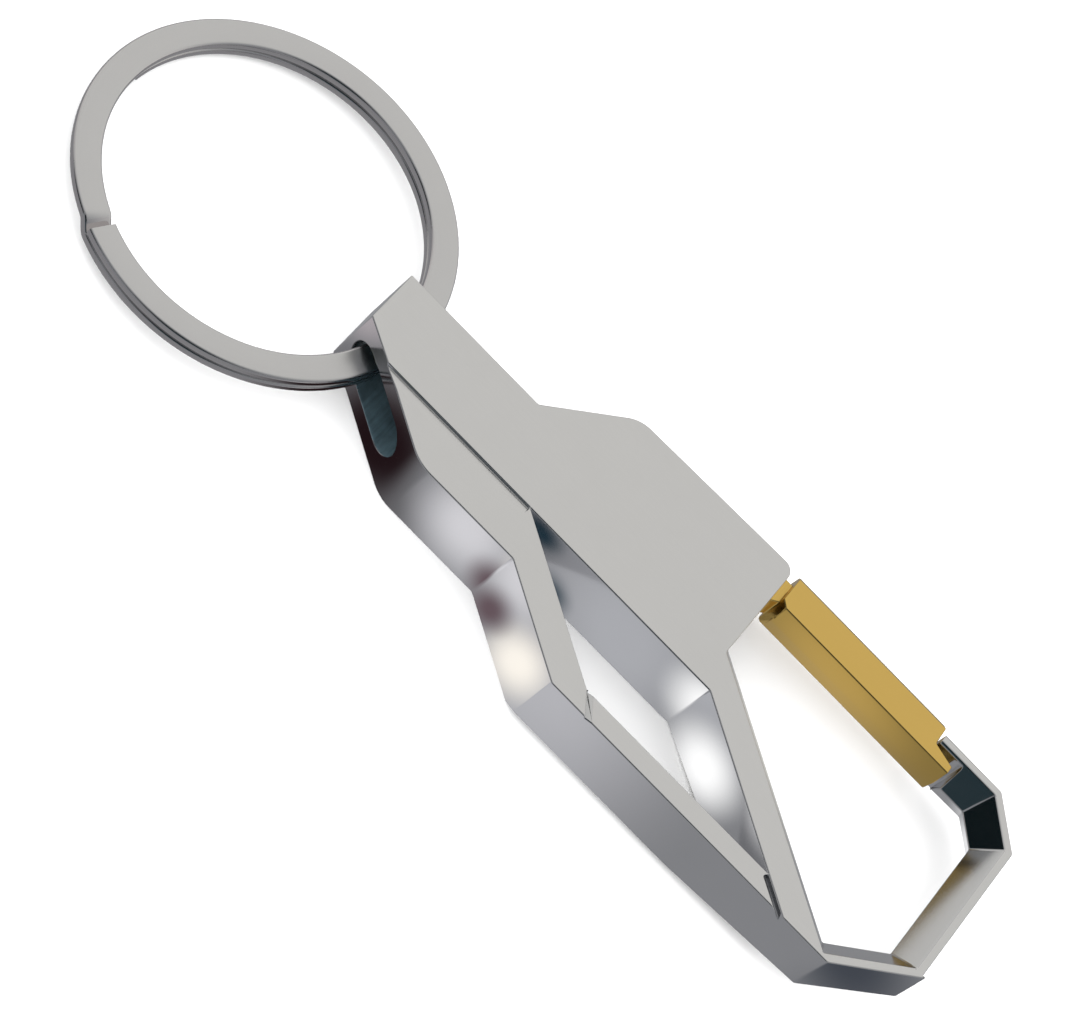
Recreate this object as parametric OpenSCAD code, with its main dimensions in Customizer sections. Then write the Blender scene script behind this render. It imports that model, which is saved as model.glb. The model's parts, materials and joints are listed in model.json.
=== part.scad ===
// Carabiner key holder: a die-cast body with a window, a hook and a slot for a split ring,
// closed by a sprung gate.  Lengths are in millimetres.
//
// Origin: on the flat back face, under the middle of the split ring's slot.
// +X runs along the body from the split ring to the hook, +Z points out of the front face,
// and the gate closes the +Y side.

/* [Body] */
// Thickness of the body
body_t = 6.7; // [6.4:0.1:8]
// Width of the neck at the split ring's end
neck_w = 7.9; // [7:0.1:9.5]
// Distance from the slot's middle to the body's ring end
ring_end = 5.15; // [5:0.05:6.5]
// Width cut off the neck's end by its corner chamfer
end_chamfer_w = 2.15; // [0.5:0.05:3]
// Length of the neck's corner chamfer
end_chamfer_l = 3.4; // [0.5:0.1:4]
// Position of the flare, where the neck starts to widen
flare_x = 9; // [7:0.1:11]
// Angle of the flare to the body's axis
flare_angle = 43.4; // [35:0.1:55]
// Height of the plate's upper edge above the axis, where the flare ends
plate_y = 10.4; // [9.8:0.1:11.5]
// Slope of the plate's upper edge
plate_slope = 1.8; // [0:0.1:3]
// Position of the shoulder that carries the gate
shoulder_x = 33; // [31:0.1:36]
// Fillet of the flare's upper corner
flare_fillet = 3; // [0.5:0.1:4]
// Fillet of the shoulder's upper corner
shoulder_fillet = 1; // [0.3:0.1:2]

/* [Legs and window] */
// Angle at which both legs run down across the axis
leg_angle = 34.1; // [30:0.1:38]
// Width of the left leg
left_leg_w = 3; // [2.4:0.1:3.6]
// Width of the right leg on the front face
right_leg_w = 2.65; // [2.2:0.05:3.4]
// Length of the window along the plate
window_l = 20; // [16:0.5:21]
// Height of the window
window_h = 8.55; // [7.5:0.05:9.5]
// Width of the bar below the window
bar_w = 2; // [1.8:0.1:3]
// Height of the left leg's outer edge below the axis
leg_outer_y = 8.7; // [8:0.1:9.2]
// Position at which the left leg's outer edge turns down
leg_knee_x = 15.6; // [14:0.1:17]
// Fillet of the left leg's bend below the slot
leg_fillet = 4; // [1:0.5:5]
// Narrowing of the window's walls at the parting line
window_draft = 0.15; // [0.05:0.05:0.3]
// Height of the parting line as a share of the thickness
parting_share = 0.41; // [0.3:0.01:0.5]

/* [Hook] */
// Position of the hook's outer end
hook_end = 61.05; // [59:0.05:64]
// Distance of the nose's outer edge above the axis
nose_y = 10.1; // [9.8:0.1:10.6]
// Height of the end wall's upper corner above the axis
end_top_y = 6.35; // [5:0.05:7.5]
// Height of the end wall's lower corner below the axis
end_low_y = 9; // [8:0.1:10]
// Angle of the hook's lower wall
low_wall_angle = 39.5; // [35:0.5:44]
// Angle of the hook's upper corner
top_wall_angle = 45; // [40:1:50]
// Flat strip of the hook's front face
hook_strip = 0.7; // [0.5:0.1:1]
// Width of the hook's inner bevel
hook_bevel = 1.9; // [1.4:0.1:2.2]
// Width of the back's inner bevel, carried on down to the flat back's level
back_bevel = 2.66; // [2:0.02:3]
// Rise of the back face from the shoulder to the hook's end
back_rise = 2.3; // [0:0.1:3]
// Bulge of the hook's outer walls behind their front edge
hook_bulge = 0.35; // [0.1:0.05:0.6]
// Depth of the slope from that bulge to the front face
bulge_depth = 1.6; // [1:0.1:2.4]
// Chamfer along the back of the bar
bar_chamfer = 0.7; // [0.2:0.1:1]
// Position of the nose's tip
nose_tip_x = 50.9; // [50:0.1:52]
// Thickness of the lip at the nose's tip
lip_t = 0.9; // [0.8:0.05:1.2]
// Fillet of the nose's tip
nose_fillet = 0.5; // [0.2:0.1:0.7]
// Fillet of the hook's and bar's outer corners
hook_fillet = 0.5; // [0.2:0.1:1]
// Length of the lip that covers the gate's tongue
lip_l = 2.7; // [2.4:0.1:3.5]
// Metal left on the front face between the carabiner opening and the bar's lower edge
bar_rim = 0.3; // [0.3:0.05:1.5]

/* [Grooves] */
// Depth of the long fold beside the plate
plate_groove_depth = 0.25; // [0.15:0.05:0.7]
// Depth of the short fold between the bar and the right leg
bar_groove_depth = 0.7; // [0.3:0.05:1]
// Depth of the short fold between the left leg's tip and the bar
tip_groove_depth = 0.2; // [0.15:0.05:0.7]
// Width of the long fold beside the plate
plate_groove_w = 1.2; // [0.6:0.1:1.6]
// Width of the short folds across the bar
bar_groove_w = 0.6; // [0.4:0.1:1.2]
// Angle at which the left leg's tip is folded over the bar
tip_angle = 58; // [45:1:70]

/* [Split ring] */
// Outer diameter of the split ring
ring_od = 33; // [28:0.5:36]
// Radial width of the ring's wire
wire_w = 2.5; // [1.8:0.1:2.8]
// Thickness of one turn of the wire
wire_t = 0.82; // [0.6:0.02:1]
// Gap between the ring's two turns
turn_gap = 0.06; // [0.04:0.01:0.1]
// Angle over which the wire steps from one turn to the other
joggle_angle = 24; // [16:1:40]
// Angle of the step, counted from the slot around the ring
joggle_place = 158; // [120:1:200]
// Radius of the wire's edges
wire_round = 0.4; // [0.3:0.05:0.6]
// Clearance around the wire when it turns in the slot
slot_gap = 0.15; // [0.15:0.05:0.4]
// Step between the slot's roof and its round seat
seat_step = 0.02; // [0.01:0.01:0.05]
// Length of the slot
slot_l = 7.1; // [6:0.1:7.5]
// Distance from the slot's middle to the axis on which the ring swings
seat_x = 2.42; // [2:0.01:2.6]
// Sideways offset of the ring's centre from the neck's axis
ring_offset_y = 2.2; // [0:0.1:3]

/* [Gate] */
// Width of the gate across the opening
gate_w = 3.9; // [3.4:0.05:4.2]
// Thickness of the gate
gate_t = 4; // [3.6:0.1:4.4]
// Depth of the gate's front below the body's front
gate_recess = 0.3; // [0.1:0.1:0.6]
// Height of the gate's inner edge above the axis
gate_y = 7.65; // [7.5:0.05:7.9]
// Gap between the shoulder and the gate's block
heel_gap = 0.85; // [0.8:0.05:1.2]
// Chamfer of the gate's inner heel corner
heel_chamfer = 0.6; // [0.5:0.05:0.8]
// Gap between the gate's outer half and the nose's tip
tip_gap = 0.35; // [0.2:0.05:0.6]
// Reach of the tongue beyond the gate's outer half
tongue_l = 2.4; // [2:0.1:2.6]
// Slope of the tongue's outer edge over its length
tongue_drop = 0.6; // [0.2:0.1:1]
// Slope of the gate's end above the tongue
tip_slope = 0.2; // [0.1:0.05:0.3]
// Gap between the tongue and the nose's lip
lip_gap = 0.15; // [0.1:0.05:0.3]
// Bevel along the gate's front outer edge
gate_bevel = 0.75; // [0.4:0.05:1]
// Bulge of the gate's sides at half their height
gate_ridge = 0.15; // [0.1:0.05:0.4]

/* [Gate hinge] */
// Radius of the hinge pin
pin_r = 0.6; // [0.5:0.05:0.7]
// Distance of the pin's axis behind the shoulder
pin_inset = 1.15; // [1.05:0.05:1.4]
// Height of the pin's axis above the body's axis
pin_y = 9; // [8.8:0.05:9.1]
// Radius of the gate's knuckle around the pin
knuckle_r = 1.5; // [1.3:0.05:1.55]
// Thickness of the gate's knuckle
knuckle_t = 2.4; // [2:0.1:2.6]
// Clearance beside the knuckle in the body's slot
knuckle_gap = 0.15; // [0.1:0.05:0.25]
// Radial clearance between pin and gate
pin_run = 0.04; // [0.02:0.01:0.08]
// Interference of the pin's press fit in the body
pin_press = 0.01; // [0:0.005:0.02]
// Metal left in front of the pin's blind hole
pin_cover = 0.5; // [0.4:0.1:0.8]
// Depth of the pin's end below the back face
pin_sink = 0.1; // [0.05:0.05:0.3]

/* [Return spring] */
// Radius of the plunger
plunger_r = 0.8; // [0.7:0.05:0.85]
// Length of the plunger
plunger_l = 2.6; // [2.4:0.1:3.2]
// Radial clearance between plunger and bore
plunger_run = 0.05; // [0.03:0.01:0.08]
// Distance of the plunger's axis below the pin's axis
plunger_arm = 1.6; // [1.5:0.05:1.7]
// Gap between the plunger's tip and the gate's tail
plunger_tip_gap = 0.05; // [0.02:0.01:0.1]
// Length of the spring with the gate closed
spring_l = 7; // [6:0.5:10]
// Radius of the spring's outside
spring_r = 0.75; // [0.65:0.05:0.8]
// Thickness of the spring's wire
spring_wire = 0.28; // [0.2:0.02:0.34]
// Distance from the pin's axis to the gate's tail face
tail_x = 1.3; // [1.1:0.05:1.4]
// Reach of the gate's tail below the pin's axis
tail_y = 2.2; // [2:0.05:2.3]
// Room for the tail's swing in the body's slot
tail_room = 1.25; // [1.2:0.05:1.5]
// Gap below the tail in the body's slot
tail_gap = 0.45; // [0.3:0.05:0.6]

/* [Hidden] */
$fn = 48;
ring_facets = 96;
arc_steps = 6;
eps = 0.01;
overrun = 2;
big = 40;

// Two flat coils and the gap between them
ring_t = 2 * wire_t + turn_gap;
ring_r = ring_od / 2 - wire_w / 2;

// The wire's bow across the neck, shared between the two sides of the ring's swing axis
neck_y = neck_w / 2;
wire_bow = ring_r - sqrt(ring_r * ring_r - neck_y * neck_y);
ring_seat = ring_r - wire_bow / 2;
turning_r = norm([wire_w / 2 + wire_bow / 2 - wire_round, ring_t / 2 - wire_round]) + wire_round;
slot_r = turning_r + slot_gap;
ring_drop = asin((body_t / 2 - ring_t / 2) / (ring_seat + ring_od / 2));
ring_yaw = asin(ring_offset_y / (ring_seat * cos(ring_drop)));

front_z = body_t;
parting_z = body_t * parting_share;

// Window, whose first corner is where the left leg's inner edge meets the plate
window_x = leg_knee_x + left_leg_w / sin(leg_angle) - (leg_outer_y - neck_y) / tan(leg_angle);
window_low_y = -neck_y - window_h;
bar_low_y = window_low_y - bar_w;
plate_fold_x = end_chamfer_l - ring_end - overrun;
fold_l = 2 * bar_w / sin(leg_angle);
tip_fold_l = 2 * bar_w / sin(tip_angle);

// Gate and nose
gate_front = body_t - gate_recess;
gate_back = gate_front - gate_t;
gate_mid = (gate_front + gate_back) / 2;
gate_x = shoulder_x + heel_gap;
gate_end = nose_tip_x - tip_gap;
lip_y = nose_y - lip_t;
tongue_y = lip_y - lip_gap;
pin_x = shoulder_x - pin_inset;
slot_low_z = gate_mid - knuckle_t / 2 - knuckle_gap;
slot_top_z = gate_mid + knuckle_t / 2 + knuckle_gap;
plunger_y = pin_y - plunger_arm;
plunger_tip = pin_x - tail_x - plunger_tip_gap;
spring_end = plunger_tip - plunger_l;
spring_start = spring_end - spring_l;
pin_top = body_t - pin_cover;

// Hook walls, each a point on the outer edge and the direction in which the wall runs
hook_w = hook_strip + hook_bevel;
hook_mid = (body_t + back_rise) / 2;
window_right_x = window_x + window_l;
leg_front_x = window_right_x + right_leg_w / sin(leg_angle);
inner_walls = [
    [leg_front_x, -neck_y, -leg_angle],
    [hook_end, -end_low_y, low_wall_angle],
    [hook_end, 0, 90],
    [hook_end, end_top_y, 90 + top_wall_angle],
    [hook_end, nose_y, 180]
];
outer_walls = [for (i = [0:4]) i < 2 ? inner_walls[i] : moved(inner_walls[i], -hook_bulge)];

// The point where two lines, each [x, y, direction], cross
function crossing(a, b) =
    let (t = ((b[0] - a[0]) * sin(b[2]) - (b[1] - a[1]) * cos(b[2])) / sin(b[2] - a[2]))
    [a[0] + t * cos(a[2]), a[1] + t * sin(a[2])];

// A line moved to its left by d
function moved(line, d) = [line[0] - d * sin(line[2]), line[1] + d * cos(line[2]), line[2]];

// Points of an arc of radius r that rounds the corner q between p and s
function arc_corner(p, q, s, r) =
    let (u = (p - q) / norm(p - q),
         v = (s - q) / norm(s - q),
         half = acos(u * v) / 2,
         centre = q + (u + v) / norm(u + v) * r / sin(half),
         first = q + u * r / tan(half) - centre,
         last = q + v * r / tan(half) - centre)
    [for (i = [0:arc_steps])
        let (spoke = first * (1 - i / arc_steps) + last * i / arc_steps)
        centre + spoke / norm(spoke) * r];

// A closed outline whose corners are rounded where the radius is above zero
function rounded(points, radii) =
    let (n = len(points))
    [for (i = [0:n - 1])
        each (radii[i] > 0
            ? arc_corner(points[(i + n - 1) % n], points[i], points[(i + 1) % n], radii[i])
            : [points[i]])];

// The corner at the end of outer wall i; the nose's wall ends at its tip
function outer_corner(i) =
    i < 4 ? crossing(outer_walls[i], outer_walls[i + 1]) : [nose_tip_x, outer_walls[4][1]];

// A convex outline without what lies below height y
function above(points, y) =
    let (n = len(points))
    [for (i = [0:n - 1])
        let (p = points[i],
             q = points[(i + 1) % n],
             cut = p + (q - p) * (y - p[1]) / (q[1] - p[1]))
        each concat(p[1] < y ? [] : [p], (p[1] - y) * (q[1] - y) < 0 ? [cut] : [])];

// The hook's inner outline, opened by d from its ridge and kept above the bar's rim
function opening(d) =
    let (shoulder = [shoulder_x, 0, 90],
         leg = moved(inner_walls[0], hook_bevel - d),
         low = moved(inner_walls[1], hook_w - d),
         end = moved(inner_walls[2], hook_w - d),
         top = moved(inner_walls[3], hook_w - d),
         nose = moved(inner_walls[4], hook_w - d))
    above([
        crossing(shoulder, leg), crossing(leg, low), crossing(low, end), crossing(end, top),
        crossing(top, nose), [shoulder_x, nose[1]]
    ], bar_low_y + bar_rim + (hook_bevel - d) / cos(leg_angle));

// The window's outline, closed in by d
function window(d) =
    let (plate = moved([0, -neck_y, 0], -d),
         right = moved([window_right_x, -neck_y, -leg_angle], -d),
         bar = moved([0, window_low_y, 0], d),
         left = moved([window_x, -neck_y, -leg_angle], d))
    [crossing(plate, left), crossing(plate, right), crossing(right, bar), crossing(bar, left)];

// The body's outer outline
function body_outline() =
    let (flare = [flare_x, neck_y, flare_angle],
         top = [flare_x + (plate_y - neck_y) / tan(flare_angle), plate_y, plate_slope],
         shoulder = [shoulder_x, 0, 90],
         outer_leg = [leg_knee_x, -leg_outer_y, -leg_angle],
         bar = [0, bar_low_y, 0],
         ring_side = [end_chamfer_l - ring_end, -neck_y, -leg_angle])
    rounded([
        [-ring_end, end_chamfer_w - neck_y],
        [-ring_end, neck_y],
        [flare_x, neck_y],
        crossing(flare, top),
        crossing(top, shoulder),
        [shoulder_x, gate_y],
        [nose_tip_x, gate_y],
        [nose_tip_x, outer_walls[4][1]],
        crossing(outer_walls[4], outer_walls[3]),
        crossing(outer_walls[3], outer_walls[2]),
        crossing(outer_walls[2], outer_walls[1]),
        crossing(outer_walls[1], bar),
        crossing(bar, outer_leg),
        [leg_knee_x, -leg_outer_y],
        crossing(ring_side, [0, -leg_outer_y, 0]),
        [end_chamfer_l - ring_end, -neck_y]
    ], [0, 0, 0, flare_fillet, shoulder_fillet, 0, 0, nose_fillet, hook_fillet, hook_fillet, hook_fillet,
        hook_fillet, hook_fillet, hook_fillet, leg_fillet, 0]);

// A layer of the given outline, eps thick, at height z
module layer(points, z) {
    translate([0, 0, z]) linear_extrude(eps) polygon(points);
}

// A solid that blends one outline into another between two heights
module taper(low_points, low_z, high_points, high_z) {
    hull() {
        layer(low_points, low_z);
        layer(high_points, high_z);
    }
}

// A groove in the front face along a line from p: steep on the left, sloping up on the right
module fold(p, direction, length, width, depth) {
    translate([p[0], p[1], front_z])
        rotate([0, 0, direction])
            rotate([90, 0, 90])
                linear_extrude(length)
                    polygon([[0, -depth], [0, overrun], [-width, overrun], [-width, 0]]);
}

// A slope along an outer edge from p, with the body on its left: front face with side 1, back with -1
module rim_cut(p, direction, length, inset, depth, side) {
    translate([p[0], p[1], side > 0 ? front_z : 0])
        rotate([0, 0, direction])
            rotate([90, 0, 90])
                linear_extrude(length)
                    polygon([
                        [0, -side * depth],
                        [inset, 0],
                        [inset, side * overrun],
                        [-overrun, side * overrun],
                        [-overrun, -side * depth]
                    ]);
}

// The split ring's slot, right across the neck
module ring_slot() {
    flat_l = slot_l - 2 * slot_r;
    for (side = [-1, 1])
        translate([side * flat_l / 2, 0, body_t / 2])
            rotate([90, 0, 0])
                cylinder(h = big, r = slot_r, center = true);
    translate([0, 0, body_t / 2]) cube([flat_l, big, 2 * slot_r], center = true);
    // Round seat in line with the ring's wire
    translate([-seat_x, 0, body_t / 2])
        rotate([90, 0, -ring_yaw])
            cylinder(h = big, r = slot_r - seat_step, center = true);
}

// The slot in the shoulder that takes the gate's knuckle
module knuckle_slot() {
    slot_back = plunger_tip - tail_room;
    slot_low_y = pin_y - tail_y - tail_gap;
    translate([slot_back, slot_low_y, slot_low_z])
        cube([shoulder_x - slot_back + eps, big, slot_top_z - slot_low_z]);
}

// The blind bore for the return spring and its plunger
module spring_bore() {
    translate([spring_start, plunger_y, gate_mid])
        rotate([0, 90, 0])
            cylinder(h = shoulder_x - spring_start, r = plunger_r + plunger_run);
}

// The opening between the gate's side and the nose, straight through
module gate_gap() {
    step_x = nose_tip_x + lip_l;
    translate([0, 0, -eps])
        linear_extrude(body_t + 2 * eps)
            polygon([
                [shoulder_x, gate_y - overrun],
                [shoulder_x, nose_y + overrun],
                [nose_tip_x, nose_y + overrun],
                [nose_tip_x, lip_y],
                [step_x, lip_y],
                [step_x, gate_y - overrun]
            ]);
}

module body_casting() {
    color("silver")
        difference() {
            linear_extrude(body_t) polygon(body_outline());
            // Carabiner opening, straight at the ridge and bevelled to both faces
            translate([0, 0, -eps]) linear_extrude(body_t + 2 * eps) polygon(opening(0));
            taper(opening(0), hook_mid, opening(hook_bevel), front_z);
            taper(opening(back_bevel), -eps, opening(0), hook_mid);
            gate_gap();
            // Window
            taper(window(window_draft), parting_z, window(0), front_z);
            taper(window(0), -eps, window(window_draft), parting_z);
            // Folds in the front face
            fold([plate_fold_x, -neck_y], 0, window_x - plate_fold_x, plate_groove_w, plate_groove_depth);
            fold(window(0)[2], -leg_angle, fold_l, bar_groove_w, bar_groove_depth);
            fold(window(0)[3] + tip_fold_l * [cos(tip_angle), -sin(tip_angle)], 180 - tip_angle, tip_fold_l,
                bar_groove_w, tip_groove_depth);
            // Sloped outer edges of the hook and the bar
            for (i = [2:4])
                rim_cut(outer_corner(i - 1), outer_walls[i][2], norm(outer_corner(i) - outer_corner(i - 1)),
                    hook_bulge, bulge_depth, 1);
            rim_cut([leg_knee_x, bar_low_y], 0, hook_end - leg_knee_x, bar_chamfer, bar_chamfer, -1);
            // Rising back of the hook
            translate([shoulder_x, -big / 2, 0])
                rotate([0, -atan(back_rise / (hook_end - shoulder_x)), 0])
                    translate([0, 0, -big])
                        cube([big, big, big]);
            ring_slot();
            knuckle_slot();
            spring_bore();
            translate([pin_x, pin_y, -eps]) cylinder(h = pin_top + eps, r = pin_r - pin_press);
        }
}

// The gate's block seen along its length: flat front, bulged sides and a narrower back
function gate_section() = [
    [gate_w - gate_bevel, gate_front],
    [gate_w, gate_front - gate_bevel],
    [gate_w + gate_ridge, gate_mid],
    [gate_w - gate_bevel / 2, gate_back],
    [gate_bevel / 2, gate_back],
    [-gate_ridge, gate_mid],
    [0, gate_front]
];

// The gate's outline from the front, from its heel to its tongue
function gate_outline() =
    let (tongue_x = gate_end + tongue_l)
    [
        [gate_x, gate_y + heel_chamfer],
        [gate_x, gate_y + gate_w + overrun],
        [gate_end, gate_y + gate_w + overrun],
        [gate_end + tip_slope, tongue_y],
        [tongue_x, tongue_y - tongue_drop],
        [tongue_x, gate_y - overrun],
        [gate_x + heel_chamfer, gate_y - overrun],
        [gate_x + heel_chamfer, gate_y]
    ];

module gate() {
    color("gold")
        difference() {
            union() {
                intersection() {
                    translate([gate_x - overrun, gate_y, 0])
                        rotate([90, 0, 90])
                            linear_extrude(big)
                                polygon(gate_section());
                    linear_extrude(body_t) polygon(gate_outline());
                }
                // Knuckle, tail and neck
                translate([pin_x, pin_y, gate_mid - knuckle_t / 2])
                    linear_extrude(knuckle_t) {
                        circle(r = knuckle_r);
                        polygon([
                            [-tail_x, -tail_y],
                            [-tail_x, 0],
                            [0, knuckle_r],
                            [gate_x - pin_x + overrun, knuckle_r],
                            [gate_x - pin_x + overrun, gate_y - pin_y + heel_chamfer],
                            [gate_x - pin_x, gate_y - pin_y + heel_chamfer],
                            [0, -tail_y]
                        ]);
                    }
            }
            translate([pin_x, pin_y, -eps]) cylinder(h = body_t, r = pin_r + pin_run);
        }
}

module gate_pin() {
    color("dimgray") translate([pin_x, pin_y, pin_sink]) cylinder(h = pin_top - pin_sink, r = pin_r);
}

module return_spring() {
    color("lightsteelblue")
        translate([spring_start, plunger_y, gate_mid])
            rotate([0, 90, 0])
                difference() {
                    cylinder(h = spring_l, r = spring_r);
                    translate([0, 0, -eps]) cylinder(h = spring_l + 2 * eps, r = spring_r - spring_wire);
                }
}

module spring_plunger() {
    color("slategray")
        translate([spring_end, plunger_y, gate_mid]) rotate([0, 90, 0]) cylinder(h = plunger_l, r = plunger_r);
}

// The section of both turns together, with rounded edges
function ring_section() =
    let (w = wire_w / 2,
         t = ring_t / 2,
         r = wire_round)
    rounded([[ring_r - w, -t], [ring_r + w, -t], [ring_r + w, t], [ring_r - w, t]], [r, r, r, r]);

module split_ring() {
    gap_start = joggle_place + joggle_angle / 2;
    color("gainsboro")
        translate([-seat_x, 0, body_t / 2])
            rotate([0, 0, -ring_yaw])
                rotate([0, -ring_drop, 0])
                    translate([-ring_seat, 0, 0])
                        difference() {
                            rotate_extrude($fn = ring_facets) polygon(ring_section());
                            rotate([0, 0, gap_start])
                                rotate_extrude(angle = 360 - joggle_angle, $fn = ring_facets)
                                    translate([ring_r, 0])
                                        square([wire_w + overrun, turn_gap], center = true);
                        }
}

body_casting();
gate();
gate_pin();
return_spring();
spring_plunger();
split_ring();
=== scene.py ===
"""Carabiner key holder: the looks of each piece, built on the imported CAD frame.

Every length is in metres and every position is in the frame of the CAD model.
"""

import json
import logging
import math
from dataclasses import dataclass, field
from enum import Enum

import bmesh
import bpy
from mathutils import Matrix, Vector

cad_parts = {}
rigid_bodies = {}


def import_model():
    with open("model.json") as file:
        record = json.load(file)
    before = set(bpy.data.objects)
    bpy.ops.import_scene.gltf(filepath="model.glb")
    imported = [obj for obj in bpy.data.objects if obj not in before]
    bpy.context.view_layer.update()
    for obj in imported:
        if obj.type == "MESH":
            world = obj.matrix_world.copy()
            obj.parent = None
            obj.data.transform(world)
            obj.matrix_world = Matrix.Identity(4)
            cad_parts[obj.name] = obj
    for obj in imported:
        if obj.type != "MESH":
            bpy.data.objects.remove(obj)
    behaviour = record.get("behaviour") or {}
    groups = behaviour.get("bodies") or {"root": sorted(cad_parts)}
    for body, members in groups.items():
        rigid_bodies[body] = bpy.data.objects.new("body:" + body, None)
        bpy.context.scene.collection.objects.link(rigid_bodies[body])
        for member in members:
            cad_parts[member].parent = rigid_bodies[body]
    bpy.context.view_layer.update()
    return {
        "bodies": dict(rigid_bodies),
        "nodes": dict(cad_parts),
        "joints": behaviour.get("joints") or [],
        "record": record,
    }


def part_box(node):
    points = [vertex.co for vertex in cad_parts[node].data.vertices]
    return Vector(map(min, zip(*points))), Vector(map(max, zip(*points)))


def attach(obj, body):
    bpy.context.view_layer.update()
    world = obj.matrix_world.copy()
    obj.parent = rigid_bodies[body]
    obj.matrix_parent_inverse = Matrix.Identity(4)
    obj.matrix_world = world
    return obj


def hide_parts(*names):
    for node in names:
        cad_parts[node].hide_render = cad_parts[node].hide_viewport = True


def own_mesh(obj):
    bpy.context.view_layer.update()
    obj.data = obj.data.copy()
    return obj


log = logging.getLogger("key_holder")

MM = 0.001
MIRROR_SMOOTH = 0.02
GRAIN_STRENGTH = 0.6
Color = tuple[float, float, float]


class Grain(Enum):
    """Which way a finish's fine grain runs, as the stretch of its noise along X, Y and Z."""

    EVEN = (1.0, 1.0, 1.0)
    ALONG_X = (0.06, 1.0, 1.0)
    ALONG_Y = (1.0, 0.05, 1.0)


class Region(Enum):
    """Surfaces of the casting that carry different finishes."""

    FACE = 0
    WALL = 1
    BEVEL = 2
    SLOT = 3


class NodeGraph:
    """Adds nodes and links to one node tree."""

    def __init__(self, tree: bpy.types.NodeTree) -> None:
        """Starts from an empty tree."""
        self.tree = tree
        tree.nodes.clear()

    def add(self, kind: str, inputs: dict | None = None, **settings: object) -> bpy.types.Node:
        """Adds a node.

        Args:
            kind: The node's type.
            inputs: Constant values of its inputs, by name or index.
            **settings: Attributes of the node.

        Returns:
            The new node.
        """
        node = self.tree.nodes.new(kind)
        for name, value in settings.items():
            setattr(node, name, value)
        for name, value in (inputs or {}).items():
            node.inputs[name].default_value = value
        return node

    def link(self, source: bpy.types.NodeSocket, target: bpy.types.NodeSocket) -> None:
        """Links an output to an input."""
        self.tree.links.new(source, target)

    def math(
        self, operation: str, a: object, b: object = None, clamp: bool = False
    ) -> bpy.types.NodeSocket:
        """Adds a math node.

        Args:
            operation: The node's operation.
            a: The first operand, a socket or a number.
            b: The second operand, if the operation takes one.
            clamp: Whether the result is kept between 0 and 1.

        Returns:
            The result's socket.
        """
        node = self.add("ShaderNodeMath", operation=operation, use_clamp=clamp)
        for socket, value in zip(node.inputs, (a, b)):
            if isinstance(value, bpy.types.NodeSocket):
                self.link(value, socket)
            elif value is not None:
                socket.default_value = value
        return node.outputs[0]


@dataclass(frozen=True)
class MetalFinish:
    """A metal surface with fine grain and an uneven polish."""

    name: str
    color: Color
    roughness: float
    roughness_swing: float = 0.08
    mottling: float = 0.06
    mottling_size: float = 3 * MM
    grain: Grain = Grain.EVEN
    grain_size: float = 0.12 * MM
    grain_depth: float = 0.002 * MM
    metallic: float = 1.0

    def material(self) -> bpy.types.Material:
        """Builds the finish as a node material, or returns it if it is already there."""
        made = bpy.data.materials.get(self.name)
        if made:
            return made
        made = bpy.data.materials.new(self.name)
        made.use_nodes = True
        made.diffuse_color = (*self.color, 1.0)
        graph = NodeGraph(made.node_tree)
        place = graph.add("ShaderNodeTexCoord").outputs["Object"]

        stretch = graph.add("ShaderNodeMapping", {"Scale": self.grain.value})
        graph.link(place, stretch.inputs["Vector"])
        grain = graph.add(
            "ShaderNodeTexNoise", {"Scale": 1 / self.grain_size, "Detail": 3.0, "Roughness": 0.6}
        )
        graph.link(stretch.outputs["Vector"], grain.inputs["Vector"])
        clouds = graph.add("ShaderNodeTexNoise", {"Scale": 1 / self.mottling_size, "Detail": 4.0})
        graph.link(place, clouds.inputs["Vector"])
        both = graph.math("ADD", clouds.outputs["Fac"], grain.outputs["Fac"])
        blend = graph.math("MULTIPLY", both, 0.5)

        shade = graph.add(
            "ShaderNodeMapRange", {"To Min": 1 - self.mottling, "To Max": 1 + self.mottling}
        )
        graph.link(blend, shade.inputs["Value"])
        tint = graph.add("ShaderNodeMix", {0: 1.0}, data_type="RGBA", blend_type="MULTIPLY")
        tint.inputs["A"].default_value = (*self.color, 1.0)
        graph.link(shade.outputs["Result"], tint.inputs["B"])

        uneven = graph.add(
            "ShaderNodeMapRange",
            {
                "To Min": max(MIRROR_SMOOTH, self.roughness - self.roughness_swing),
                "To Max": self.roughness + self.roughness_swing,
            },
        )
        graph.link(blend, uneven.inputs["Value"])
        bump = graph.add(
            "ShaderNodeBump", {"Strength": GRAIN_STRENGTH, "Distance": self.grain_depth}
        )
        graph.link(grain.outputs["Fac"], bump.inputs["Height"])

        metal = graph.add("ShaderNodeBsdfPrincipled", {"Metallic": self.metallic})
        graph.link(tint.outputs["Result"], metal.inputs["Base Color"])
        graph.link(uneven.outputs["Result"], metal.inputs["Roughness"])
        graph.link(bump.outputs["Normal"], metal.inputs["Normal"])
        out = graph.add("ShaderNodeOutputMaterial")
        graph.link(metal.outputs["BSDF"], out.inputs["Surface"])
        return made


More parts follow.
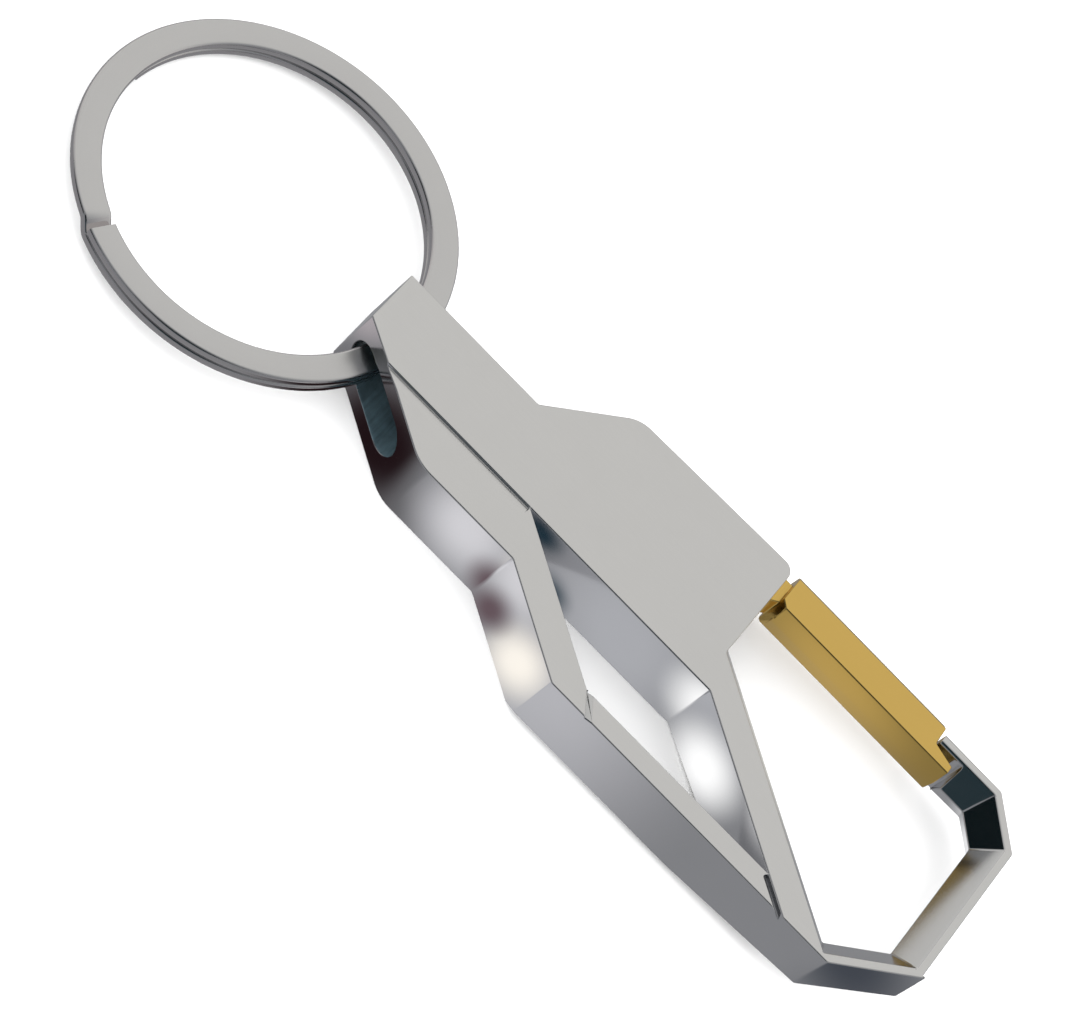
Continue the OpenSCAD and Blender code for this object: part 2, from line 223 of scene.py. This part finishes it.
SATIN_NICKEL = MetalFinish("nickel_faces", (0.69, 0.685, 0.675), 0.34, grain=Grain.ALONG_X)
POLISHED_NICKEL = MetalFinish("nickel_walls", (0.65, 0.65, 0.66), 0.13, 0.05, 0.05, 5 * MM)
BEVEL_NICKEL = MetalFinish("nickel_bevels", (0.6, 0.6, 0.6), 0.16, 0.05, 0.04, 4 * MM)
# The slot's very dark teal colour is partly the rough cast metal and partly painted shade of the deep
# slot.
SHADED_CAST_NICKEL = MetalFinish(
    "cast_nickel_painted_shade",
    (0.065, 0.108, 0.13),
    0.42,
    roughness_swing=0.1,
    mottling=0.95,
    mottling_size=1.2 * MM,
    grain=Grain.ALONG_Y,
    grain_size=0.3 * MM,
    grain_depth=0.15 * MM,
    metallic=0.4,
)
POLISHED_GOLD = MetalFinish(
    "gold_plating", (0.72, 0.485, 0.135), 0.2, 0.05, 0.04, 4 * MM, Grain.ALONG_X
)
RING_STEEL = MetalFinish("ring_flats", (0.62, 0.615, 0.61), 0.3, 0.06, 0.05, 3 * MM)
RING_EDGE = MetalFinish("ring_edges", (0.6, 0.58, 0.58), 0.12, 0.04, 0.05, 3 * MM)
PIN_STEEL = MetalFinish("drawn_pin", (0.52, 0.52, 0.53), 0.3, 0.08, 0.08, 1 * MM)
SPRING_STEEL = MetalFinish("drawn_spring_wire", (0.55, 0.56, 0.58), 0.25, 0.06, 0.08, 1 * MM)


def new_piece(name: str, mesh: bpy.types.Mesh) -> bpy.types.Object:
    """Makes a scene object of a mesh.

    Args:
        name: The object's name.
        mesh: Its mesh, in the row frame.

    Returns:
        The new object, at the origin.
    """
    piece = bpy.data.objects.new(name, mesh)
    bpy.context.scene.collection.objects.link(piece)
    return piece


def baked_mesh(piece: bpy.types.Object, name: str) -> bpy.types.Mesh:
    """Gives the mesh that an object's modifiers make.

    Args:
        piece: The object with its modifiers.
        name: The new mesh's name.

    Returns:
        A mesh of its own.
    """
    depsgraph = bpy.context.evaluated_depsgraph_get()
    mesh = bpy.data.meshes.new_from_object(
        piece.evaluated_get(depsgraph), preserve_all_data_layers=True, depsgraph=depsgraph
    )
    mesh.name = name
    return mesh


@dataclass
class CastPiece:
    """A machined or cast piece: a copy of its CAD node with softened edges."""

    node: str
    body: str
    slot: str
    finish: MetalFinish
    edge: float = 0.12 * MM
    edge_angle: float = math.radians(25)
    segments: int = 3
    merge_distance: float = 0.002 * MM
    flat_angle: float = math.radians(0.4)
    normal_weight: int = 90
    piece: bpy.types.Object | None = field(default=None, init=False)

    def build(self, frame: dict) -> None:
        """Copies the CAD mesh, joins its flat faces and rounds its sharp edges.

        Args:
            frame: The loaded frame.
        """
        work = bmesh.new()
        work.from_mesh(frame["nodes"][self.node].data)
        bmesh.ops.remove_doubles(work, verts=work.verts, dist=self.merge_distance)
        bmesh.ops.dissolve_limit(
            work, angle_limit=self.flat_angle, verts=work.verts, edges=work.edges
        )
        bmesh.ops.recalc_face_normals(work, faces=work.faces)
        mesh = bpy.data.meshes.new(self.node + "_blank")
        work.to_mesh(mesh)
        work.free()
        self.mark(mesh)
        mesh.shade_smooth()
        blank = new_piece(self.node + "_blank", mesh)
        bevel = blank.modifiers.new("edges", "BEVEL")
        bevel.width = self.edge
        bevel.segments = self.segments
        bevel.limit_method = "ANGLE"
        bevel.angle_limit = self.edge_angle
        bevel.use_clamp_overlap = False
        bevel.miter_outer = "MITER_ARC"
        weighted = blank.modifiers.new("normals", "WEIGHTED_NORMAL")
        weighted.weight = self.normal_weight
        self.piece = new_piece(self.node + "_visual", baked_mesh(blank, self.node + "_visual"))
        bpy.data.objects.remove(blank)
        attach(self.piece, self.body)
        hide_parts(self.node)

    def mark(self, mesh: bpy.types.Mesh) -> None:
        """Marks a mesh's faces by their finish; a plain piece has one finish only."""

    def dress(self) -> None:
        """Gives the piece its finish."""
        self.piece.data.materials.clear()
        self.piece.data.materials.append(self.finish.material())


@dataclass
class BodyCasting(CastPiece):
    """The casting: satin faces, polished walls and bevels, and the slot, rough as cast and darkened
    with painted shade.
    """

    slot_end: float = 3.6 * MM
    slot_floor: float = 1.55 * MM
    slot_roof: float = 5.15 * MM
    slot_tilt: float = 0.1
    end_face: float = -0.999
    face_from: float = 0.97
    bevel_from: float = 0.3

    def mark(self, mesh: bpy.types.Mesh) -> None:
        """Gives each face the number of the region that it lies in."""
        for region in Region:
            mesh.materials.append(self.finishes()[region].material())
        for face in mesh.polygons:
            face.material_index = self.region(face.center, face.normal).value

    def region(self, centre: Vector, normal: Vector) -> Region:
        """Says which region a face belongs to.

        The slot runs across the body, so its walls have next to no Y in their normals, and the neck's
        flat end faces -X. Other faces are told apart by how far they face up or down.

        Args:
            centre: The face's middle.
            normal: The face's normal.

        Returns:
            The region whose finish it takes.
        """
        in_slot = self.slot_floor < centre.z < self.slot_roof and centre.x < self.slot_end
        if in_slot and abs(normal.y) < self.slot_tilt and normal.x > self.end_face:
            return Region.SLOT
        if abs(normal.z) > self.face_from:
            return Region.FACE
        if abs(normal.z) > self.bevel_from:
            return Region.BEVEL
        return Region.WALL

    def finishes(self) -> dict[Region, MetalFinish]:
        """Gives each region's finish."""
        return {
            Region.FACE: SATIN_NICKEL,
            Region.WALL: POLISHED_NICKEL,
            Region.BEVEL: BEVEL_NICKEL,
            Region.SLOT: SHADED_CAST_NICKEL,
        }

    def dress(self) -> None:
        """Keeps the finishes that the faces were marked with."""


def smooth_by_angle(mesh: bpy.types.Mesh, angle: float = math.radians(35)) -> None:
    """Shades a mesh smooth and keeps its sharper edges crisp.

    Args:
        mesh: The mesh to shade.
        angle: The angle from which an edge is sharp.
    """
    mesh.shade_smooth()
    mesh.set_sharp_from_angle(angle=angle)


class WireTree:
    """A node tree that sweeps a wire's section along a path worked out from its points' numbers."""

    def __init__(self, name: str, inputs: dict[str, float]) -> None:
        """Starts the tree.

        Args:
            name: The tree's name.
            inputs: The tree's named inputs and their values.
        """
        self.values = inputs
        self.tree = bpy.data.node_groups.new(name, "GeometryNodeTree")
        self.tree.interface.new_socket("Geometry", in_out="INPUT", socket_type="NodeSocketGeometry")
        self.ids = {}
        for key in inputs:
            socket = self.tree.interface.new_socket(key, in_out="INPUT", socket_type="NodeSocketFloat")
            self.ids[key] = socket.identifier
        self.tree.interface.new_socket("Geometry", in_out="OUTPUT", socket_type="NodeSocketGeometry")
        self.graph = NodeGraph(self.tree)
        self.given = self.graph.add("NodeGroupInput").outputs

    def share(self, samples: int) -> bpy.types.NodeSocket:
        """Gives each point's place along the path, from 0 to 1."""
        index = self.graph.add("GeometryNodeInputIndex").outputs[0]
        return self.graph.math("DIVIDE", index, samples - 1)

    def sweep(
        self,
        samples: int,
        x: bpy.types.NodeSocket,
        y: bpy.types.NodeSocket,
        z: bpy.types.NodeSocket,
        section: bpy.types.NodeSocket,
        finish: MetalFinish,
    ) -> None:
        """Ends the tree: a line of points is moved to the path and the section is swept along it.

        Args:
            samples: The number of points along the path.
            x: The points' X.
            y: The points' Y.
            z: The points' Z.
            section: The section's curve.
            finish: The wire's finish.
        """
        graph = self.graph
        line = graph.add("GeometryNodeMeshLine", {"Count": samples})
        curve = graph.add("GeometryNodeMeshToCurve")
        graph.link(line.outputs["Mesh"], curve.inputs["Mesh"])
        point = graph.add("ShaderNodeCombineXYZ")
        for socket, value in zip(point.inputs, (x, y, z)):
            graph.link(value, socket)
        moved = graph.add("GeometryNodeSetPosition")
        graph.link(curve.outputs["Curve"], moved.inputs["Geometry"])
        graph.link(point.outputs["Vector"], moved.inputs["Position"])
        upright = graph.add("GeometryNodeSetCurveNormal", mode="Z_UP")
        graph.link(moved.outputs["Geometry"], upright.inputs["Curve"])
        swept = graph.add("GeometryNodeCurveToMesh", {"Fill Caps": True})
        graph.link(upright.outputs["Curve"], swept.inputs["Curve"])
        graph.link(section, swept.inputs["Profile Curve"])
        real = graph.add("GeometryNodeRealizeInstances")
        graph.link(swept.outputs["Mesh"], real.inputs["Geometry"])
        coated = graph.add("GeometryNodeSetMaterial", {"Material": finish.material()})
        graph.link(real.outputs["Geometry"], coated.inputs["Geometry"])
        out = graph.add("NodeGroupOutput")
        graph.link(coated.outputs["Geometry"], out.inputs["Geometry"])

    def mesh(self, name: str) -> bpy.types.Mesh:
        """Runs the tree.

        Args:
            name: The new mesh's name.

        Returns:
            The swept wire.
        """
        holder = new_piece(name + "_path", bpy.data.meshes.new(name + "_path"))
        modifier = holder.modifiers.new("wire", "NODES")
        modifier.node_group = self.tree
        for key, value in self.values.items():
            modifier[self.ids[key]] = value
        made = baked_mesh(holder, name)
        bpy.data.objects.remove(holder)
        return made


@dataclass
class SplitRing:
    """The split ring: one wire of two flat turns that steps from the lower to the upper turn."""

    node: str = "split_ring"
    body: str = "ring"
    slot: str = "ring_steel"
    outer_diameter: float = 32.98 * MM
    wire_width: float = 2.5 * MM
    turn_thickness: float = 0.82 * MM
    turn_gap: float = 0.06 * MM
    edge_radius: float = 0.3 * MM
    neck_half: float = 3.95 * MM
    body_thickness: float = 6.7 * MM
    upper_end: float = math.radians(250)
    lower_end: float = math.radians(185)
    step_width: float = math.radians(5)
    end_gap: float = math.radians(0.3)
    samples: int = 840
    edge_points: int = 4
    flat_from: float = 0.8
    piece: bpy.types.Object | None = field(default=None, init=False)

    def wire_radius(self) -> float:
        """Gives the radius of the wire's middle."""
        return (self.outer_diameter - self.wire_width) / 2

    def stack(self) -> float:
        """Gives the thickness of both turns together."""
        return 2 * self.turn_thickness + self.turn_gap

    def seat(self) -> float:
        """Gives the distance from the ring's centre to its swing axis."""
        radius = self.wire_radius()
        return radius - (radius - math.sqrt(radius**2 - self.neck_half**2)) / 2

    def place(self, joint: dict) -> Matrix:
        """Gives the ring's place at rest.

        Args:
            joint: The ring's hinge in the record.

        Returns:
            The matrix from the ring's own frame to the row frame.
        """
        axis = Vector(joint["axis"])
        yaw = -math.atan2(axis.x, axis.y)
        reach = self.seat() + self.outer_diameter / 2
        drop = math.asin((self.body_thickness / 2 - self.stack() / 2) / reach)
        return (
            Matrix.Translation(joint["pos_m"])
            @ Matrix.Rotation(yaw, 4, "Z")
            @ Matrix.Rotation(-drop, 4, "Y")
            @ Matrix.Translation((-self.seat(), 0, 0))
        )

    def path_tree(self) -> WireTree:
        """Builds the tree that winds the wire twice round."""
        between_ends = self.upper_end - self.lower_end
        wire = WireTree(
            "split_ring_wire",
            {
                "Radius": self.wire_radius(),
                "Width": self.wire_width,
                "Thickness": self.turn_thickness,
                "Level step": self.turn_thickness + self.turn_gap,
                "Start angle": self.lower_end,
                "Sweep": 2 * math.tau - between_ends,
                "Step start": math.tau - between_ends + self.end_gap,
                "Step width": self.step_width,
                "Edge radius": self.edge_radius,
            },
        )
        graph, given = wire.graph, wire.given
        turn = graph.math("MULTIPLY", wire.share(self.samples), given["Sweep"])
        angle = graph.math("SUBTRACT", given["Start angle"], turn)
        rise = graph.add("ShaderNodeMapRange", interpolation_type="SMOOTHSTEP")
        graph.link(turn, rise.inputs["Value"])
        graph.link(given["Step start"], rise.inputs["From Min"])
        graph.link(graph.math("ADD", given["Step start"], given["Step width"]), rise.inputs["From Max"])
        from_middle = graph.math("SUBTRACT", rise.outputs["Result"], 0.5)
        level = graph.math("MULTIPLY", from_middle, given["Level step"])
        x = graph.math("MULTIPLY", graph.math("COSINE", angle), given["Radius"])
        y = graph.math("MULTIPLY", graph.math("SINE", angle), given["Radius"])
        section = graph.add("GeometryNodeCurvePrimitiveQuadrilateral")
        graph.link(given["Width"], section.inputs["Width"])
        graph.link(given["Thickness"], section.inputs["Height"])
        eased = graph.add("GeometryNodeFilletCurve", mode="POLY")
        eased.inputs["Count"].default_value = self.edge_points
        graph.link(section.outputs["Curve"], eased.inputs["Curve"])
        graph.link(given["Edge radius"], eased.inputs["Radius"])
        wire.sweep(self.samples, x, y, level, eased.outputs["Curve"], RING_STEEL)
        return wire

    def build(self, frame: dict) -> None:
        """Winds the wire and sets the ring in the slot.

        Args:
            frame: The loaded frame.
        """
        joint = next(j for j in frame["joints"] if j["child"] == self.body)
        mesh = self.path_tree().mesh(self.node + "_visual")
        mesh.transform(self.place(joint))
        smooth_by_angle(mesh)
        self.piece = new_piece(self.node + "_visual", mesh)
        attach(self.piece, self.body)
        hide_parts(self.node)

    def dress(self) -> None:
        """Keeps the flats satin and polishes the wire's edges."""
        mesh = self.piece.data
        mesh.materials.clear()
        for finish in (RING_STEEL, RING_EDGE):
            mesh.materials.append(finish.material())
        for face in mesh.polygons:
            face.material_index = int(abs(face.normal.z) < self.flat_from)


@dataclass
class ReturnSpring:
    """The gate's compression spring: a coil with closed ends."""

    node: str = "return_spring"
    body: str = "body"
    joint: str = "plunger_slide"
    slot: str = "spring_steel"
    wire: float = 0.28 * MM
    turns: int = 12
    samples: int = 480
    sides: int = 10
    end_wires: float = 3.0
    piece: bpy.types.Object | None = field(default=None, init=False)

    def path_tree(self, length: float, radius: float) -> WireTree:
        """Builds the tree that winds the coil.

        Args:
            length: The coil's length.
            radius: The radius of the wire's middle.

        Returns:
            The tree.
        """
        wire = WireTree(
            "return_spring_wire",
            {"Length": length, "Radius": radius, "Wire": self.wire, "Turns": float(self.turns)},
        )
        graph, given = wire.graph, wire.given
        turn = graph.math("MULTIPLY", wire.share(self.samples), given["Turns"])
        angle = graph.math("MULTIPLY", turn, math.tau)
        first = graph.math("MINIMUM", turn, 1.0)
        last = graph.math("MAXIMUM", graph.math("SUBTRACT", turn, self.turns - 1), 0.0)
        closed = graph.math("MULTIPLY", graph.math("ADD", first, last), given["Wire"])
        middle = graph.math("DIVIDE", graph.math("SUBTRACT", turn, 1.0), self.turns - 2, clamp=True)
        ends = graph.math("MULTIPLY", given["Wire"], self.end_wires)
        open_length = graph.math("SUBTRACT", given["Length"], ends)
        along = graph.math("ADD", closed, graph.math("MULTIPLY", middle, open_length))
        x = graph.math("ADD", along, graph.math("MULTIPLY", given["Wire"], 0.5))
        y = graph.math("MULTIPLY", graph.math("COSINE", angle), given["Radius"])
        z = graph.math("MULTIPLY", graph.math("SINE", angle), given["Radius"])
        section = graph.add("GeometryNodeCurvePrimitiveCircle", {"Resolution": self.sides})
        graph.link(graph.math("MULTIPLY", given["Wire"], 0.5), section.inputs["Radius"])
        wire.sweep(self.samples, x, y, z, section.outputs["Curve"], SPRING_STEEL)
        return wire

    def build(self, frame: dict) -> None:
        """Winds the coil in its bore.

        Args:
            frame: The loaded frame; not used.
        """
        low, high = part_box(self.node)
        length = high.x - low.x
        radius = (high.y - low.y) / 2 - self.wire / 2
        mesh = self.path_tree(length, radius).mesh(self.node + "_visual")
        mesh.transform(Matrix.Translation((low.x, (low.y + high.y) / 2, (low.z + high.z) / 2)))
        smooth_by_angle(mesh)
        self.piece = new_piece(self.node + "_visual", mesh)
        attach(self.piece, self.body)
        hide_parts(self.node)
        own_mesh(self.piece)

    def dress(self) -> None:
        """Gives the coil its drawn-wire finish."""
        self.piece.data.materials.clear()
        self.piece.data.materials.append(SPRING_STEEL.material())


@dataclass(frozen=True)
class PaintedReflection:
    """A painted reflection: a soft round patch of glow or dark on the floor that only the metal's
    reflections see; x, y and radius are in millimetres.
    """

    x: float
    y: float
    radius: float
    color: Color
    core: float = 0.1

    def lay(
        self, graph: NodeGraph, place: bpy.types.NodeSocket, under: bpy.types.NodeSocket | None
    ) -> bpy.types.NodeSocket:
        """Lays the patch over what is already there.

        Args:
            graph: The node graph.
            place: The point on the floor.
            under: The color under the patch, or none for the first patch.

        Returns:
            The color with the patch on it.
        """
        away = graph.add("ShaderNodeVectorMath", operation="DISTANCE")
        graph.link(place, away.inputs[0])
        away.inputs[1].default_value = (self.x * MM, self.y * MM, 0)
        rim = self.radius * MM
        share = graph.add(
            "ShaderNodeMapRange",
            {"From Min": self.core * rim, "From Max": rim, "To Min": 1.0, "To Max": 0.0},
            interpolation_type="SMOOTHSTEP",
        )
        graph.link(away.outputs["Value"], share.inputs["Value"])
        patch = graph.add("ShaderNodeMix", data_type="RGBA")
        patch.inputs["A"].default_value = (*self.color, 1.0)
        patch.inputs["B"].default_value = (*self.color, 1.0)
        if under is not None:
            graph.link(under, patch.inputs["A"])
        graph.link(share.outputs["Result"], patch.inputs["Factor"])
        return patch.outputs["Result"]


@dataclass(frozen=True)
class Flag:
    """A dark round card in the sky that the metal mirrors; spread is its half angle in radians."""

    toward: tuple[float, float, float]
    spread: float
    color: Color = (0.002, 0.007, 0.009)
    core: float = 0.6

    def hang(
        self, graph: NodeGraph, direction: bpy.types.NodeSocket, behind: bpy.types.NodeSocket
    ) -> bpy.types.NodeSocket:
        """Hangs the card before what is already there.

        Args:
            graph: The node graph.
            direction: The direction looked in.
            behind: The color behind the card.

        Returns:
            The color with the card before it.
        """
        near = graph.add("ShaderNodeVectorMath", operation="DOT_PRODUCT")
        graph.link(direction, near.inputs[0])
        near.inputs[1].default_value = Vector(self.toward).normalized()
        share = graph.add(
            "ShaderNodeMapRange",
            {"From Min": math.cos(self.spread), "From Max": math.cos(self.core * self.spread)},
            interpolation_type="SMOOTHSTEP",
        )
        graph.link(near.outputs["Value"], share.inputs["Value"])
        card = graph.add("ShaderNodeMix", data_type="RGBA")
        card.inputs["B"].default_value = (*self.color, 1.0)
        graph.link(behind, card.inputs["A"])
        graph.link(share.outputs["Result"], card.inputs["Factor"])
        return card.outputs["Result"]


@dataclass
class Studio:
    """The floor, the lights and the camera."""

    position: Vector = field(default_factory=lambda: Vector((-15.8, -246.03, 306.75)) * MM)
    forward: Vector = field(default_factory=lambda: Vector((0.0782, 0.6262, -0.7757)))
    up: Vector = field(default_factory=lambda: Vector((-0.7112, 0.5803, 0.3968)))
    lens: float = 167.91
    sensor: float = 36.0
    floor_size: float = 3.0
    floor_color: Color = (0.93, 0.93, 0.93)
    sky_strength: float = 2.0
    front_color: Color = (0.3, 0.31, 0.33)
    softbox_color: Color = (0.78, 0.775, 0.76)
    front_until: float = -0.3
    softbox_from: float = 0.5
    flags: tuple[Flag, ...] = (
        Flag((0.1, -0.6, 0.79), 0.5),
        Flag((0.18, -0.84, 0.52), 0.3, (0.025, 0.045, 0.055)),
        Flag((-0.81, -0.36, 0.46), 0.4),
    )
    # Painted reflections: glowing and dark patches that only the metal sees on the floor, set to paint
    # its highlights and shade.
    cards: tuple[PaintedReflection, ...] = (
        PaintedReflection(20, -10, 80, (0.33, 0.335, 0.35)),
        PaintedReflection(24, -20, 18, (0.7, 0.7, 0.73)),
        PaintedReflection(42, 3, 12, (0.66, 0.65, 0.62)),
        PaintedReflection(27, -7, 12, (0.62, 0.63, 0.66)),
        PaintedReflection(36, -8.2, 5.5, (1.6, 1.6, 1.58)),
        PaintedReflection(20, -4.5, 3, (0.02, 0.06, 0.09)),
        PaintedReflection(0.5, -7.5, 11, (0.03, 0.015, 0.018)),
        PaintedReflection(0.5, -7.5, 6, (0.02, 0.01, 0.012)),
        PaintedReflection(12, -13, 6.5, (0.98, 0.97, 1.0)),
        PaintedReflection(19.5, -14, 4.5, (1.5, 1.42, 1.28)),
        PaintedReflection(16.2, -10.6, 3, (0.2, 0.14, 0.16)),
        PaintedReflection(-10, -4, 4, (0.6, 0.55, 0.57)),
        PaintedReflection(62, -13, 10, (0.08, 0.09, 0.11)),
        PaintedReflection(58.5, 8, 3.5, (1.0, 1.0, 1.02)),
    )

    def camera(self) -> None:
        """Sets the camera up."""
        data = bpy.data.cameras.new("camera")
        data.lens = self.lens
        data.sensor_width = self.sensor
        data.clip_start = 0.01
        data.clip_end = 20
        camera = bpy.data.objects.new("camera", data)
        bpy.context.scene.collection.objects.link(camera)
        back = -self.forward.normalized()
        right = self.up.cross(back).normalized()
        top = back.cross(right)
        turn = Matrix((right, top, back)).transposed().to_4x4()
        camera.matrix_world = Matrix.Translation(self.position) @ turn
        bpy.context.scene.camera = camera

    def floor(self) -> None:
        """Lays the pale floor under the object; in the metal's reflections only, it glows with painted
        reflections, patches that paint highlights and shade on the metal.
        """
        half = self.floor_size / 2
        mesh = bpy.data.meshes.new("floor")
        square = [(-half, -half, 0), (half, -half, 0), (half, half, 0), (-half, half, 0)]
        mesh.from_pydata(square, [], [(0, 1, 2, 3)])
        material = bpy.data.materials.new("pale_floor")
        material.use_nodes = True
        graph = NodeGraph(material.node_tree)
        pale = graph.add("ShaderNodeBsdfDiffuse", {"Color": (*self.floor_color, 1.0)})
        place = graph.add("ShaderNodeTexCoord").outputs["Object"]
        shade = None
        # The painted reflections, seen only in glossy rays.
        for card in self.cards:
            shade = card.lay(graph, place, shade)
        mirrored = graph.add("ShaderNodeEmission")
        graph.link(shade, mirrored.inputs["Color"])
        seen = self.mirror_mix(graph, pale.outputs["BSDF"], mirrored.outputs["Emission"])
        out = graph.add("ShaderNodeOutputMaterial")
        graph.link(seen, out.inputs["Surface"])
        mesh.materials.append(material)
        new_piece("floor", mesh)

    def mirror_mix(
        self, graph: NodeGraph, plain: bpy.types.NodeSocket, mirrored: bpy.types.NodeSocket
    ) -> bpy.types.NodeSocket:
        """Shows one shader directly and another in the metal's reflections.

        Args:
            graph: The node graph.
            plain: The shader seen directly.
            mirrored: The shader seen in reflections.

        Returns:
            The mixed shader.
        """
        mix = graph.add("ShaderNodeMixShader")
        graph.link(graph.add("ShaderNodeLightPath").outputs["Is Glossy Ray"], mix.inputs[0])
        graph.link(plain, mix.inputs[1])
        graph.link(mirrored, mix.inputs[2])
        return mix.outputs[0]

    def sky(self) -> None:
        """Lights the scene evenly; the metal mirrors a softbox behind it and dark cards before it."""
        world = bpy.data.worlds.new("studio")
        world.use_nodes = True
        graph = NodeGraph(world.node_tree)
        light = graph.add(
            "ShaderNodeBackground", {"Color": (1.0, 1.0, 1.0, 1.0), "Strength": self.sky_strength}
        )
        direction = graph.add("ShaderNodeTexCoord").outputs["Generated"]
        parts = graph.add("ShaderNodeSeparateXYZ")
        graph.link(direction, parts.inputs["Vector"])
        soft = graph.add(
            "ShaderNodeMapRange",
            {"From Min": self.front_until, "From Max": self.softbox_from},
            interpolation_type="SMOOTHSTEP",
        )
        graph.link(parts.outputs["Y"], soft.inputs["Value"])
        box = graph.add("ShaderNodeMix", data_type="RGBA")
        box.inputs["A"].default_value = (*self.front_color, 1.0)
        box.inputs["B"].default_value = (*self.softbox_color, 1.0)
        graph.link(soft.outputs["Result"], box.inputs["Factor"])
        shade = box.outputs["Result"]
        for flag in self.flags:
            shade = flag.hang(graph, direction, shade)
        mirrored = graph.add("ShaderNodeBackground")
        graph.link(shade, mirrored.inputs["Color"])
        seen = self.mirror_mix(graph, light.outputs["Background"], mirrored.outputs["Background"])
        out = graph.add("ShaderNodeOutputWorld")
        graph.link(seen, out.inputs["Surface"])
        world.cycles.sampling_method = "NONE"
        bpy.context.scene.world = world

    def build(self) -> None:
        """Builds the whole studio."""
        bpy.context.scene.view_settings.view_transform = "Standard"
        self.camera()
        self.floor()
        self.sky()


def main() -> None:
    """Builds every piece on the frame."""
    logging.basicConfig(level=logging.INFO, format="%(name)s: %(message)s")
    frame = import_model()
    Studio().build()
    pieces = [
        BodyCasting("body_casting", "body", "satin_nickel", SATIN_NICKEL),
        CastPiece("gate", "gate", "polished_gold", POLISHED_GOLD),
        CastPiece("gate_pin", "body", "pin_steel", PIN_STEEL),
        CastPiece("spring_plunger", "plunger", "pin_steel", PIN_STEEL, edge=0.25 * MM),
        SplitRing(),
        ReturnSpring(),
    ]
    for piece in pieces:
        piece.build(frame)
        piece.dress()
        log.info("%s rides on %s, %d faces", piece.node, piece.body, len(piece.piece.data.polygons))


if __name__ == "__main__":
    main()
